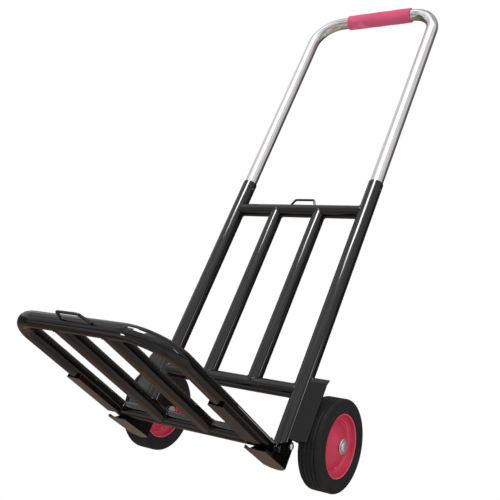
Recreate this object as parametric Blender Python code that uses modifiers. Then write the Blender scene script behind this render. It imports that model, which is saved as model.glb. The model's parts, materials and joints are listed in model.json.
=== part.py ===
"""Folding hand truck: a welded back frame, a telescopic U handle, a fold-up platform and two wheels.

Metres, +Z up, ground at z = 0, +X to the right when seen from the front, the platform towards -Y.
Lengths are set out from the plane of the back frame's side tubes, and the base empty then moves that
plane to FRAME_Y, so the origin is under the middle of the whole truck.
"""
import math

import bmesh
import bpy
from mathutils import Matrix, Vector

GAP = 0.0003                # between pieces that touch

# Back frame
HALF_SPAN = 0.1425          # side tube axes to the middle
TUBE_R = 0.014
TUBE_WALL = 0.0013
TUBE_TOP = 0.5558
BAR_R = 0.0125              # crossbars and slats
BAR_WALL = 0.0012
UPPER_BAR_Z = 0.4898
LOWER_BAR_Z = 0.1277
SLAT_X = HALF_SPAN / 3

# Handle
HANDLE_R = 0.0123
HANDLE_WALL = 0.0012
HANDLE_TOP = 1.0174         # axis of the top bar
HANDLE_BEND = 0.058
LEG_BOTTOM = 0.470
GRIP_R = 0.0158
GRIP_LENGTH = 0.150
GRIP_SHIFT = 0.008
BUTTON_Z = 0.5425
BUTTON_R = 0.0026
BUTTON_HOLE_R = 0.0031

# Platform
FORK_R = 0.0125             # the U tube of the platform
PIVOT_Y = -0.034
PIVOT_Z = 0.0184
PITCH = math.radians(2.17)  # the opened platform rises a little towards its front
FRONT_ARM = 0.3212          # pivot to the axis of the front bar
REAR_ARM = 0.0301           # pivot to the axis of the rear crossbar
LEFT_BEND = 0.047            # the two front corners are bent to different radii
RIGHT_BEND = 0.066
FORK_TAIL = 0.0098          # tube behind the pivot
FRONT_Y = PIVOT_Y - FRONT_ARM
REAR_Y = PIVOT_Y - REAR_ARM
PIN_R = 0.003
PIVOT_BUSH_R = 0.0045
CHANNEL_FRONT = -0.196
CHANNEL_REAR = -0.078
CHANNEL_HALF = 0.0141
CHANNEL_HEIGHT = 0.0072
SHEET = 0.0015

# Wire hooks on the upper crossbar and the front bar
WIRE_R = 0.0022
HOOK_BASE = 0.0290
HOOK_TOP = 0.0205
BACK_HOOK_REACH = 0.0175
BACK_HOOK_Y = 0.005
FRONT_HOOK_REACH = 0.0210

# Shoes that join the side tubes to the platform
SHOE_HALF = 0.020
SHOE_SHEET = 0.002
SHOE_FRONT = -0.066
SHOE_REAR = 0.003
SHOE_BULGE = 0.012
BOLT_Y = -0.003
BOLT_Z = 0.0355
BOLT_R = 0.003
BOLT_LOBE = 0.0075
PIVOT_LOBE = 0.0100
TOE = 0.005                 # height of the walls in front, under the swinging crossbar
STOP_Y = -0.047

# Wheels and their brackets
WHEEL_R = 0.076
AXLE_Y = 0.0717
AXLE_R = 0.005
TYRE_IN = 0.1670
TYRE_OUT = 0.2065
RIM_R = 0.0530
HUB_BOSS = 0.0185           # half the length of the hub at its bore
GROOVES = (0.0105, 0.0035, -0.0035, -0.0105)    # of the tread, from the wheel's middle plane
BUSH_WALL = 0.0015           # plastic between the axle and the hub
BUSH_FLANGE = 0.0016
BUSH_FLANGE_R = 0.0095
BUSH_DEPTH = 0.010
FLANGE_FRONT = -0.0074
FLANGE_START = 0.0133        # from the axis of the side tube
FLANGE_EDGE = 0.1881
FLANGE_LOW = 0.0455
FLANGE_HIGH = 0.1547
FLANGE_LEAN = 0.0095        # height of the strip that leans back
LEAN_BACK = 0.0042
BRACKET_SHEET = 0.002
PLATE_IN = 0.157
PLATE_END_R = 0.016

SIDES = (("left", -1), ("right", 1))
FRONT_REACH = -PIVOT_Y + (FRONT_ARM + FORK_R + FRONT_HOOK_REACH) * math.cos(PITCH) + WIRE_R
FRAME_Y = (FRONT_REACH - (AXLE_Y + WHEEL_R)) / 2


# ---------------------------------------------------------------- scene and materials

def clear_scene():
    for obj in list(bpy.data.objects):
        bpy.data.objects.remove(obj, do_unlink=True)


def new_collection(name):
    collection = bpy.data.collections.new(name)
    bpy.context.scene.collection.children.link(collection)
    return collection


def material(name, colour, roughness, metallic=0.0):
    made = bpy.data.materials.new(name)
    made.use_nodes = True
    shader = made.node_tree.nodes["Principled BSDF"]
    shader.inputs["Base Color"].default_value = (*colour, 1.0)
    shader.inputs["Roughness"].default_value = roughness
    shader.inputs["Metallic"].default_value = metallic
    return made


clear_scene()
PARTS = new_collection("hand_truck")
CUTTERS = new_collection("cutters")
BLACK_PAINT = material("black_paint", (0.012, 0.011, 0.011), 0.2)
CHROME = material("chrome", (0.75, 0.75, 0.76), 0.08, 1.0)
ZINC = material("zinc", (0.55, 0.56, 0.58), 0.3, 1.0)
SPRING_STEEL = material("spring_steel", (0.4, 0.4, 0.42), 0.35, 1.0)
PINK_FOAM = material("pink_foam", (0.60, 0.09, 0.23), 0.8)
RED_PLASTIC = material("red_plastic", (0.45, 0.02, 0.06), 0.35)
BLACK_RUBBER = material("black_rubber", (0.02, 0.02, 0.02), 0.7)
BLACK_PLASTIC = material("black_plastic", (0.02, 0.02, 0.02), 0.5)


def empty(name, location, parent=None):
    """An empty whose location is set out from the frame plane, like everything else."""
    made = bpy.data.objects.new(name, None)
    PARTS.objects.link(made)
    made.parent = parent
    made.location = location
    return made


BASE = empty("truck_base", (0.0, FRAME_Y, 0.0))
HANDLE = empty("handle_body", (0.0, 0.0, TUBE_TOP), BASE)
PLATFORM = empty("platform_body", (0.0, PIVOT_Y, PIVOT_Z), BASE)
PLATFORM.rotation_euler.x = -PITCH
WHEELS = {name: empty(f"{name}_wheel_body", (side * (TYRE_IN + TYRE_OUT) / 2, AXLE_Y, WHEEL_R), BASE)
          for name, side in SIDES}
BUTTONS = {name: empty(f"{name}_button_body", (side * HALF_SPAN, 0.0, BUTTON_Z), BASE)
           for name, side in SIDES}


def attach(obj, parent):
    """Parent a piece to its body; pieces of the platform, drawn level, take the platform's pitch."""
    obj.parent = parent
    if parent is not BASE:
        obj.matrix_parent_inverse = Matrix.Translation(-Vector(parent.location))


def add_piece(name, mesh, finish, parent, matrix=None):
    obj = bpy.data.objects.new(name, mesh)
    PARTS.objects.link(obj)
    mesh.materials.clear()
    mesh.materials.append(finish)
    mesh.shade_smooth()
    mesh.set_sharp_from_angle(angle=math.radians(35))
    obj.matrix_basis = matrix or Matrix.Identity(4)
    attach(obj, parent)
    return obj


def add_cutter(mesh, matrix=None):
    obj = bpy.data.objects.new("cutter", mesh)
    CUTTERS.objects.link(obj)
    obj.matrix_basis = matrix or Matrix.Identity(4)
    obj.hide_render = True
    obj.display_type = "WIRE"
    return obj


def boolean(obj, other, operation="DIFFERENCE"):
    attach(other, PLATFORM if obj.parent is PLATFORM else BASE)
    modifier = obj.modifiers.new(operation.lower(), "BOOLEAN")
    modifier.operation = operation
    modifier.object = other
    modifier.solver = "EXACT"


# ---------------------------------------------------------------- shapes

def along(direction, location):
    """The matrix that puts a shape made along +Z at a location, pointing in a direction."""
    turn = Vector((0, 0, 1)).rotation_difference(Vector(direction)).to_matrix().to_4x4()
    return Matrix.Translation(Vector(location)) @ turn


def lathe(profile, segments=24, closed=False):
    """A turned mesh about Z from (radius, height) points that run down the outer side."""
    mesh = bpy.data.meshes.new("profile")
    points = [(radius, 0.0, height) for radius, height in profile]
    edges = [(i, i + 1) for i in range(len(points) - 1)]
    if closed:
        edges.append((len(points) - 1, 0))
    mesh.from_pydata(points, edges, [])
    obj = bpy.data.objects.new("profile", mesh)
    CUTTERS.objects.link(obj)
    screw = obj.modifiers.new("screw", "SCREW")
    screw.steps = screw.render_steps = segments
    screw.use_merge_vertices = True
    screw.merge_threshold = 0.00001
    return baked(obj)


def baked(obj):
    """The evaluated mesh of an object, welded, with the object itself removed."""
    graph = bpy.context.evaluated_depsgraph_get()
    mesh = bpy.data.meshes.new_from_object(obj.evaluated_get(graph))
    bpy.data.objects.remove(obj, do_unlink=True)
    work = bmesh.new()
    work.from_mesh(mesh)
    bmesh.ops.remove_doubles(work, verts=work.verts, dist=0.000005)
    bmesh.ops.recalc_face_normals(work, faces=work.faces)
    work.to_mesh(mesh)
    work.free()
    return mesh


def rod(radius, length, segments=16):
    """A solid round bar from z = 0 to z = length."""
    return lathe([(0, length), (radius, length), (radius, 0), (0, 0)], segments)


def ring(outer, inner, low, high, segments=24):
    return lathe([(outer, high), (outer, low), (inner, low), (inner, high)], segments, closed=True)


def arc(centre, radius, start, end, steps):
    """Points round a centre, with the angles in degrees."""
    angles = (math.radians(start + (end - start) * i / steps) for i in range(steps + 1))
    return [(centre[0] + radius * math.cos(a), centre[1] + radius * math.sin(a)) for a in angles]


def circle(centre, radius, steps=16):
    return arc(centre, radius, 0, 360, steps)[:-1]


def plate(outline, thickness, holes=()):
    """A flat sheet in the XY plane, from z = 0 to z = thickness, with round or shaped holes."""
    curve = bpy.data.curves.new("outline", "CURVE")
    curve.dimensions = "2D"
    curve.fill_mode = "BOTH"
    curve.extrude = thickness / 2
    for points in (outline, *holes):
        spline = curve.splines.new("POLY")
        spline.points.add(len(points) - 1)
        for point, (x, y) in zip(spline.points, points):
            point.co = (x, y, 0.0, 1.0)
        spline.use_cyclic_u = True
    obj = bpy.data.objects.new("outline", curve)
    CUTTERS.objects.link(obj)
    mesh = baked(obj)
    mesh.transform(Matrix.Translation((0, 0, thickness / 2)))
    return mesh


def side_plate(outline, low, high, holes=()):
    """A sheet whose outline is given as (y, z) and which fills x from low to high."""
    mesh = plate(outline, high - low, holes)
    stand = Matrix(((0, 0, 1, low), (1, 0, 0, 0), (0, 1, 0, 0), (0, 0, 0, 1)))
    mesh.transform(stand)
    return mesh


def block(low, high):
    """A box between two corners."""
    size = [b - a for a, b in zip(low, high)]
    middle = [(a + b) / 2 for a, b in zip(low, high)]
    work = bmesh.new()
    bmesh.ops.create_cube(work, size=1.0, matrix=Matrix.Translation(middle) @ Matrix.Diagonal((*size, 1)))
    mesh = bpy.data.meshes.new("block")
    work.to_mesh(mesh)
    work.free()
    return mesh


def sweep(points, radius, sides=2, caps=True):
    """A round bar through a list of points; sides is Blender's bevel resolution."""
    curve = bpy.data.curves.new("path", "CURVE")
    curve.dimensions = "3D"
    curve.bevel_depth = radius
    curve.bevel_resolution = sides
    curve.use_fill_caps = caps
    spline = curve.splines.new("POLY")
    spline.points.add(len(points) - 1)
    for point, place in zip(spline.points, points):
        point.co = (*place, 1.0)
    obj = bpy.data.objects.new("path", curve)
    CUTTERS.objects.link(obj)
    return baked(obj)


def bend(centre, radius, start, end, steps, lift):
    """An arc of a bent tube, where lift turns the flat points into 3-D ones."""
    return [lift(a, b) for a, b in arc(centre, radius, start, end, steps)]


def hollow(obj, wall):
    """Turn an open skin into a tube wall that grows inwards."""
    solidify = obj.modifiers.new("wall", "SOLIDIFY")
    solidify.thickness = wall
    solidify.offset = -1.0
    solidify.use_even_offset = True


def straight_tube(name, start, end, radius, finish, parent, wall=BAR_WALL, segments=16):
    start, end = Vector(start), Vector(end)
    mesh = ring(radius, radius - wall, 0.0, (end - start).length, segments)
    return add_piece(name, mesh, finish, parent, along(end - start, start))


def saddle(obj, location, direction, radius, reach=0.03):
    """Cut a tube's end to sit on another tube that crosses it."""
    direction = Vector(direction).normalized()
    start = Vector(location) - direction * reach
    boolean(obj, add_cutter(rod(radius + GAP, 2 * reach, 22), along(direction, start)))


def cross_hole(obj, start, direction, length, radius):
    boolean(obj, add_cutter(rod(radius, length, 12), along(direction, start)))


# ---------------------------------------------------------------- back frame

def make_side_tube(name, side):
    """An open steel tube with the cross holes of its lower bolt and its snap button."""
    x = side * HALF_SPAN
    base = SHOE_SHEET + GAP
    tube = straight_tube(f"{name}_side_tube", (x, 0, base), (x, 0, TUBE_TOP), TUBE_R,
                         BLACK_PAINT, BASE, TUBE_WALL, 20)
    cross_hole(tube, (x - 0.02, BOLT_Y, BOLT_Z), (1, 0, 0), 0.04, BOLT_R + GAP)
    cross_hole(tube, (x, 0, BUTTON_Z), (1, 0, 0), 0.02, BUTTON_HOLE_R)


def make_crossbar(name, height):
    bar = straight_tube(name, (-HALF_SPAN, 0, height), (HALF_SPAN, 0, height), BAR_R, BLACK_PAINT, BASE)
    for _, side in SIDES:
        saddle(bar, (side * HALF_SPAN, 0, height), (0, 0, 1), TUBE_R)


def make_back_slat(name, side):
    x = side * SLAT_X
    slat = straight_tube(f"{name}_back_slat", (x, 0, LOWER_BAR_Z), (x, 0, UPPER_BAR_Z), BAR_R,
                         BLACK_PAINT, BASE)
    for height in (LOWER_BAR_Z, UPPER_BAR_Z):
        saddle(slat, (x, 0, height), (1, 0, 0), BAR_R)


def hook_path(reach, lift):
    """The centre line of a wire hook: out, across and back, with rounded corners."""
    round_r = 0.004
    slope = math.degrees(math.atan2(reach, HOOK_BASE - HOOK_TOP))
    right = arc((HOOK_TOP - round_r * 0.6, reach - round_r), round_r, 90 - slope, 90, 3)
    flat = [(HOOK_BASE, 0.0), *right, *((-x, y) for x, y in reversed(right)), (-HOOK_BASE, 0.0)]
    return [lift(x, y) for x, y in flat]


def make_back_hook():
    foot = UPPER_BAR_Z + BAR_R + GAP
    path = hook_path(BACK_HOOK_REACH, lambda x, y: (x, BACK_HOOK_Y, foot + y))
    add_piece("back_hook", sweep(path, WIRE_R), BLACK_PAINT, BASE)


def wall_outline():
    """A wall of a shoe in (y, z): a lobe round the bolt, a lobe round the pivot and a low toe."""
    bolt = arc((BOLT_Y, BOLT_Z), BOLT_LOBE, 0, 115, 5)
    pivot = arc((PIVOT_Y, PIVOT_Z), PIVOT_LOBE, 115, 215, 5)
    return [(SHOE_REAR, 0.0), (SHOE_REAR, BOLT_Z - 0.004), *bolt, *pivot,
            (SHOE_FRONT + 0.014, TOE), (SHOE_FRONT, TOE), (SHOE_FRONT, 0.0)]


def sole_outline():
    """The sole in (x, y) from the middle of a shoe, with its rear edge bulging behind the tube."""
    rise = SHOE_BULGE
    chord = SHOE_HALF - SHOE_SHEET
    radius = (chord ** 2 + rise ** 2) / (2 * rise)
    half = math.degrees(math.asin(chord / radius))
    rear = arc((0.0, SHOE_REAR + rise - radius), radius, 90 - half, 90 + half, 8)
    return [(-SHOE_HALF, SHOE_FRONT), (SHOE_HALF, SHOE_FRONT), (SHOE_HALF, SHOE_REAR), *rear,
            (-SHOE_HALF, SHOE_REAR)]


def make_shoe(name, side):
    """A pressed channel under the side tube, with two walls for the bolt and the pivot pin."""
    x = side * HALF_SPAN
    holes = [circle((BOLT_Y, BOLT_Z), BOLT_R + GAP, 12), circle((PIVOT_Y, PIVOT_Z), PIN_R + GAP, 12)]
    sole = plate(sole_outline(), SHOE_SHEET)
    shoe = add_piece(f"{name}_shoe", sole, BLACK_PAINT, BASE, Matrix.Translation((x, 0, 0)))
    for way in (-1, 1):
        low, high = sorted((x + way * (SHOE_HALF - SHOE_SHEET), x + way * SHOE_HALF))
        boolean(shoe, add_cutter(side_plate(wall_outline(), low, high, holes)), "UNION")
    top = PIVOT_Z + (PIVOT_Y - STOP_Y) * math.tan(PITCH) - FORK_R / math.cos(PITCH) - GAP
    tab = block((x - 0.008, STOP_Y - 0.001, SHOE_SHEET / 2), (x + 0.008, STOP_Y + 0.001, top))
    boolean(shoe, add_cutter(tab), "UNION")


def headed_pin(name, location, side, shank_r, length, head_r, head, finish, parent, segments=12):
    """A pin along X that starts with its head at a location and runs inwards from it."""
    dome = [(head_r * math.sin(math.radians(a)), head * math.cos(math.radians(a)))
            for a in (0, 30, 60, 80)]
    profile = [*dome, (head_r, 0.0), (shank_r, 0.0), (shank_r, -length), (0.0, -length)]
    mesh = lathe(profile, segments)
    return add_piece(name, mesh, finish, parent, along((side, 0, 0), location))


def nut(name, location, side, outer, bore, thickness, finish, parent):
    mesh = plate(circle((0, 0), outer, 6), thickness, [circle((0, 0), bore)])
    return add_piece(name, mesh, finish, parent, along((-side, 0, 0), location))


def make_shoe_fasteners(name, side):
    """The bolt through shoe and side tube with its nut, and the riveted pivot pin with its washer."""
    x = side * HALF_SPAN
    face = x + side * (SHOE_HALF + GAP)
    back = x - side * (SHOE_HALF + GAP)
    length = 2 * SHOE_HALF + 0.006
    headed_pin(f"{name}_shoe_bolt", (face, BOLT_Y, BOLT_Z), side, BOLT_R, length, 0.0052, 0.0032,
               ZINC, BASE)
    nut(f"{name}_shoe_nut", (back, BOLT_Y, BOLT_Z), side, 0.0055, BOLT_R + GAP, 0.0045, ZINC, BASE)
    headed_pin(f"{name}_pivot_pin", (face, PIVOT_Y, PIVOT_Z), side, PIN_R, length - 0.003, 0.005,
               0.0026, BLACK_PAINT, BASE)
    mesh = ring(0.0055, PIN_R + GAP, 0.0, 0.0015, 16)
    add_piece(f"{name}_pivot_washer", mesh, BLACK_PAINT, BASE,
              along((-side, 0, 0), (back, PIVOT_Y, PIVOT_Z)))
    for end, way in (("outer", side), ("inner", -side)):
        start = x + way * (TUBE_R + GAP)
        mesh = ring(0.0050, BOLT_R + GAP, 0.0, SHOE_HALF - SHOE_SHEET - TUBE_R - 2 * GAP, 16)
        add_piece(f"{name}_{end}_spacer", mesh, ZINC, BASE, along((way, 0, 0), (start, BOLT_Y, BOLT_Z)))


def bracket_side_outline():
    """The side plate in (y, z): as tall as the flange in front, round the axle at the back."""
    tip = arc((AXLE_Y, WHEEL_R), PLATE_END_R, -80, 62, 10)
    behind = FLANGE_FRONT + BRACKET_SHEET / 2
    return [(behind, FLANGE_LOW), *tip, (behind + LEAN_BACK, FLANGE_HIGH - 0.0012),
            (behind, FLANGE_HIGH - FLANGE_LEAN)]


def flange_outline():
    """The flange in (y, z): a sheet that stands straight and then leans back along its top edge."""
    back = FLANGE_FRONT + BRACKET_SHEET
    knee = FLANGE_HIGH - FLANGE_LEAN
    return [(FLANGE_FRONT, FLANGE_LOW), (back, FLANGE_LOW), (back, knee - 0.0005),
            (back + LEAN_BACK, FLANGE_HIGH - 0.0008), (FLANGE_FRONT + LEAN_BACK, FLANGE_HIGH),
            (FLANGE_FRONT, knee)]


def make_wheel_bracket(name, side):
    """A pressed bracket: a front flange that curls back at the top, and a plate that carries the axle."""
    low, high = sorted((side * PLATE_IN, side * (PLATE_IN + BRACKET_SHEET)))
    hole = circle((AXLE_Y, WHEEL_R), AXLE_R + GAP, 16)
    mesh = side_plate(bracket_side_outline(), low, high, [hole])
    bracket = add_piece(f"{name}_wheel_bracket", mesh, BLACK_PAINT, BASE)
    low, high = sorted((side * (HALF_SPAN + FLANGE_START), side * FLANGE_EDGE))
    boolean(bracket, add_cutter(side_plate(flange_outline(), low, high)), "UNION")
    corner = HALF_SPAN + TUBE_R
    notch = block((corner - 0.008, FLANGE_FRONT - 0.001, FLANGE_HIGH - FLANGE_LEAN - 0.0006),
                  (corner + GAP, AXLE_Y, FLANGE_HIGH + 0.001))
    notch.transform(Matrix.Diagonal((side, 1, 1, 1)))
    if side < 0:
        notch.flip_normals()
    boolean(bracket, add_cutter(notch))


# ---------------------------------------------------------------- handle

def handle_path():
    side = HALF_SPAN - HANDLE_BEND
    height = HANDLE_TOP - HANDLE_BEND

    def lift(x, z):
        return (x, 0.0, z)

    right = bend((side, height), HANDLE_BEND, 0, 90, 7, lift)
    left = bend((-side, height), HANDLE_BEND, 90, 180, 7, lift)
    return [(HALF_SPAN, 0.0, LEG_BOTTOM), *right, *left, (-HALF_SPAN, 0.0, LEG_BOTTOM)]


def make_handle():
    tube = add_piece("handle_tube", sweep(handle_path(), HANDLE_R, 6, caps=False), CHROME, HANDLE)
    hollow(tube, HANDLE_WALL)
    for _, side in SIDES:
        cross_hole(tube, (side * HALF_SPAN, 0, BUTTON_Z), (1, 0, 0), 0.02, BUTTON_HOLE_R)


def make_grip():
    """A foam sleeve on the top bar with softly rounded ends."""
    half = GRIP_LENGTH / 2
    bore = HANDLE_R + GAP
    soft = 0.0028
    top = arc((GRIP_R - soft, half - soft), soft, 90, 0, 3)
    low = arc((GRIP_R - soft, soft - half), soft, 0, -90, 3)
    mesh = lathe([*top, *low, (bore, -half), (bore, half)], 28, closed=True)
    add_piece("foam_grip", mesh, PINK_FOAM, HANDLE, along((1, 0, 0), (GRIP_SHIFT, 0, HANDLE_TOP)))


def make_leg_plug(name, side):
    """A plastic glide closing the lower end of a handle leg: a spigot and a wider foot."""
    foot = HANDLE_R + 0.00005
    spigot = HANDLE_R - HANDLE_WALL - GAP
    profile = [(0, 0.014), (spigot, 0.014), (spigot, -GAP), (foot, -GAP), (foot, -0.005), (0, -0.005)]
    add_piece(f"{name}_leg_plug", lathe(profile, 20), BLACK_PLASTIC, HANDLE,
              along((0, 0, 1), (side * HALF_SPAN, 0, LEG_BOTTOM)))


def make_snap_spring(name, side):
    """A bent leaf inside the leg that pushes the button out through both tubes."""
    x = side * HALF_SPAN
    near = HANDLE_R - HANDLE_WALL - 0.0052
    far = near + 0.0006
    turn = (0.0, -0.020)
    outline = [(near, 0.006), *arc(turn, near, 0, -180, 8), (-near, 0.004),
               (-far, 0.004), *arc(turn, far, -180, 0, 8), (far, 0.006)]
    mesh = plate(outline, 0.006)
    stand = Matrix(((1, 0, 0, x), (0, 0, -1, 0.003), (0, 1, 0, BUTTON_Z), (0, 0, 0, 1)))
    mesh.transform(stand)
    add_piece(f"{name}_snap_spring", mesh, SPRING_STEEL, HANDLE)


def make_snap_button(name, side):
    """The button fills its hole in the leg and stops just inside the bore of the side tube."""
    reach = TUBE_R - TUBE_WALL - 0.0002
    back = HANDLE_R - HANDLE_WALL - 0.0042
    dome = [(BUTTON_R * math.sin(math.radians(a)), reach - 0.0012 * (1 - math.cos(math.radians(a))))
            for a in (0, 30, 60, 90)]
    skirt = 0.0040
    profile = [*dome, (BUTTON_R, back + 0.0012), (skirt, back + 0.0012), (skirt, back), (0, back)]
    add_piece(f"{name}_snap_button", lathe(profile, 16), ZINC, BUTTONS[name],
              along((1, 0, 0), (side * HALF_SPAN, 0, BUTTON_Z)))


# ---------------------------------------------------------------- platform

def fork_path():
    """The U of the platform: from the right pivot round the front bar to the left pivot."""
    def lift(a, b):
        return (a, b, PIVOT_Z)

    right = bend((HALF_SPAN - RIGHT_BEND, FRONT_Y + RIGHT_BEND), RIGHT_BEND, 0, -90, 7, lift)
    left = bend((LEFT_BEND - HALF_SPAN, FRONT_Y + LEFT_BEND), LEFT_BEND, -90, -180, 7, lift)
    tail = PIVOT_Y + FORK_TAIL
    return [(HALF_SPAN, tail, PIVOT_Z), *right, *left, (-HALF_SPAN, tail, PIVOT_Z)]


def make_platform_tube():
    tube = add_piece("platform_tube", sweep(fork_path(), FORK_R, 6, caps=False), BLACK_PAINT, PLATFORM)
    hollow(tube, BAR_WALL)
    for _, side in SIDES:
        start = (side * HALF_SPAN - 0.02, PIVOT_Y, PIVOT_Z)
        cross_hole(tube, start, (1, 0, 0), 0.04, PIVOT_BUSH_R + GAP)


def make_platform_crossbar():
    half = HALF_SPAN
    bar = straight_tube("platform_crossbar", (-half, REAR_Y, PIVOT_Z),
                        (half, REAR_Y, PIVOT_Z), BAR_R, BLACK_PAINT, PLATFORM)
    for _, side in SIDES:
        saddle(bar, (side * half, REAR_Y, PIVOT_Z), (0, 1, 0), FORK_R)


def make_platform_slat(name, side):
    x = side * SLAT_X
    slat = straight_tube(f"{name}_platform_slat", (x, REAR_Y, PIVOT_Z),
                         (x, FRONT_Y, PIVOT_Z), BAR_R, BLACK_PAINT, PLATFORM)
    saddle(slat, (x, REAR_Y, PIVOT_Z), (1, 0, 0), BAR_R)
    saddle(slat, (x, FRONT_Y, PIVOT_Z), (1, 0, 0), FORK_R)


def make_channel(name, side):
    """The pressed channel that stiffens the underside of a platform side tube."""
    x = side * HALF_SPAN
    web = PIVOT_Z - FORK_R - GAP - SHEET
    high = web + CHANNEL_HEIGHT
    outline = [(-CHANNEL_HALF, high), (-CHANNEL_HALF, web), (CHANNEL_HALF, web), (CHANNEL_HALF, high),
               (CHANNEL_HALF - SHEET + 0.0003, high), (CHANNEL_HALF - SHEET + 0.0003, web + SHEET),
               (-CHANNEL_HALF + SHEET - 0.0003, web + SHEET), (-CHANNEL_HALF + SHEET - 0.0003, high)]
    mesh = plate(outline, CHANNEL_REAR - CHANNEL_FRONT)
    stand = Matrix(((1, 0, 0, x), (0, 0, -1, CHANNEL_REAR), (0, 1, 0, 0), (0, 0, 0, 1)))
    mesh.transform(stand)
    add_piece(f"{name}_platform_channel", mesh, BLACK_PAINT, PLATFORM)


def make_platform_hook():
    face = FRONT_Y - FORK_R - WIRE_R * 0.6 - GAP
    reach = FRONT_HOOK_REACH - WIRE_R * 0.6 - GAP
    path = hook_path(reach, lambda x, y: (x, face - y, PIVOT_Z))
    add_piece("platform_hook", sweep(path, WIRE_R), BLACK_PAINT, PLATFORM)


def make_pivot_bush(name, side):
    """A plastic sleeve across the platform tube that turns on the pivot pin."""
    half = SHOE_HALF - SHOE_SHEET - GAP
    mesh = ring(PIVOT_BUSH_R, PIN_R + GAP, -half, half, 16)
    add_piece(f"{name}_pivot_bush", mesh, BLACK_PLASTIC, PLATFORM,
              along((1, 0, 0), (side * HALF_SPAN, PIVOT_Y, PIVOT_Z)))


# ---------------------------------------------------------------- wheels

def groove(radius, middle, depth=0.0022, half=0.0013):
    """One tread groove, from the outer side inwards."""
    return [(radius, middle + half), (radius - depth, middle), (radius, middle - half)]


def tyre_profile():
    """(radius, height) from the outer face to the inner face, then back along the seat on the hub."""
    half = (TYRE_OUT - TYRE_IN) / 2
    face = RIM_R + GAP
    outer, inner = 0.0065, 0.0045
    upper = arc((WHEEL_R - outer, half - outer), outer, 90, 0, 4)
    lower = arc((WHEEL_R - inner, inner - half), inner, 0, -90, 3)
    grooves = [point for middle in GROOVES for point in groove(WHEEL_R, middle)]
    return [(face, half), *upper, *grooves, *lower, (face, -half)]


def hub_profile():
    """A plastic hub with a rim and an inner step on both faces, rising as a cone to the bore."""
    half = (TYRE_OUT - TYRE_IN) / 2 - 0.0018
    foot_r, foot = 0.0385, 0.0050
    top_r, top = 0.0130, HUB_BOSS - 0.0012
    step_r, step = 0.0425, 0.0085
    bore = AXLE_R + BUSH_WALL + GAP
    outer = [(bore, HUB_BOSS), (top_r - 0.0012, HUB_BOSS), (top_r, top), (foot_r, foot),
             (step_r - 0.002, foot), (step_r, step), (RIM_R - 0.004, step + 0.001),
             (RIM_R - 0.0025, half), (RIM_R, half)]
    return [*outer, *((radius, -height) for radius, height in reversed(outer))]


def wheel_matrix(side):
    return along((side, 0, 0), (side * (TYRE_IN + TYRE_OUT) / 2, AXLE_Y, WHEEL_R))


def make_wheel(name, side):
    body = WHEELS[name]
    place = wheel_matrix(side)
    add_piece(f"{name}_tyre", lathe(tyre_profile(), 32, closed=True), BLACK_RUBBER, body, place)
    add_piece(f"{name}_hub", lathe(hub_profile(), 26, closed=True), RED_PLASTIC, body, place)
    sleeve, bore = AXLE_R + BUSH_WALL, AXLE_R + GAP
    for end, way in (("outer", 1), ("inner", -1)):
        profile = [(BUSH_FLANGE_R, BUSH_FLANGE), (BUSH_FLANGE_R, 0.0), (sleeve, 0.0),
                   (sleeve, -BUSH_DEPTH), (bore, -BUSH_DEPTH), (bore, BUSH_FLANGE)]
        seat = place @ along((0, 0, way), (0, 0, way * (HUB_BOSS + GAP)))
        add_piece(f"{name}_{end}_bush", lathe(profile, 14, closed=True), BLACK_PLASTIC, body, seat)


def make_axle(name, side):
    """The axle bolt, the tube that spaces the wheel off its bracket, and the cap nut at the outer end."""
    plate_out = PLATE_IN + BRACKET_SHEET
    head = (side * (PLATE_IN - GAP), AXLE_Y, WHEEL_R)
    middle = (TYRE_IN + TYRE_OUT) / 2
    stack = HUB_BOSS + BUSH_FLANGE + 2 * GAP
    cap_start = middle + stack
    length = cap_start + 0.0018 - PLATE_IN
    profile = [(0, length), (AXLE_R, length), (AXLE_R, 0), (0.0085, 0), (0.0085, -0.005), (0, -0.005)]
    add_piece(f"{name}_axle", lathe(profile, 18), ZINC, BASE, along((side, 0, 0), head))
    spacer = ring(0.0080, AXLE_R + GAP, 0.0, middle - stack - plate_out - GAP, 16)
    add_piece(f"{name}_axle_spacer", spacer, ZINC, BASE,
              along((side, 0, 0), (side * (plate_out + GAP), AXLE_Y, WHEEL_R)))
    bore, floor = AXLE_R + GAP, 0.0022
    dome = [(0.0085 * math.sin(math.radians(a)), floor + 0.0022 * math.cos(math.radians(a)))
            for a in (0, 35, 65, 90)]
    cap = [*dome, (0.0120, 0.0018), (0.0124, 0.0), (bore, 0.0), (bore, floor), (0, floor)]
    add_piece(f"{name}_cap_nut", lathe(cap, 24), ZINC, BASE,
              along((side, 0, 0), (side * cap_start, AXLE_Y, WHEEL_R)))


# ---------------------------------------------------------------- assembly

def build():
    make_crossbar("upper_crossbar", UPPER_BAR_Z)
    make_crossbar("lower_crossbar", LOWER_BAR_Z)
    make_back_hook()
    make_handle()
    make_grip()
    make_platform_tube()
    make_platform_crossbar()
    make_platform_hook()
    makers = (make_side_tube, make_back_slat, make_shoe, make_shoe_fasteners, make_wheel_bracket,
              make_leg_plug, make_snap_spring, make_snap_button, make_platform_slat, make_channel,
              make_pivot_bush, make_wheel, make_axle)
    for name, side in SIDES:
        for make in makers:
            make(name, side)


build()
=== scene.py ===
"""Looks of the folding hand truck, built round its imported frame: tubes, welds, steel, wheels and grip."""
import json
import math

import bmesh
import bpy
from mathutils import Matrix, Vector


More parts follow.
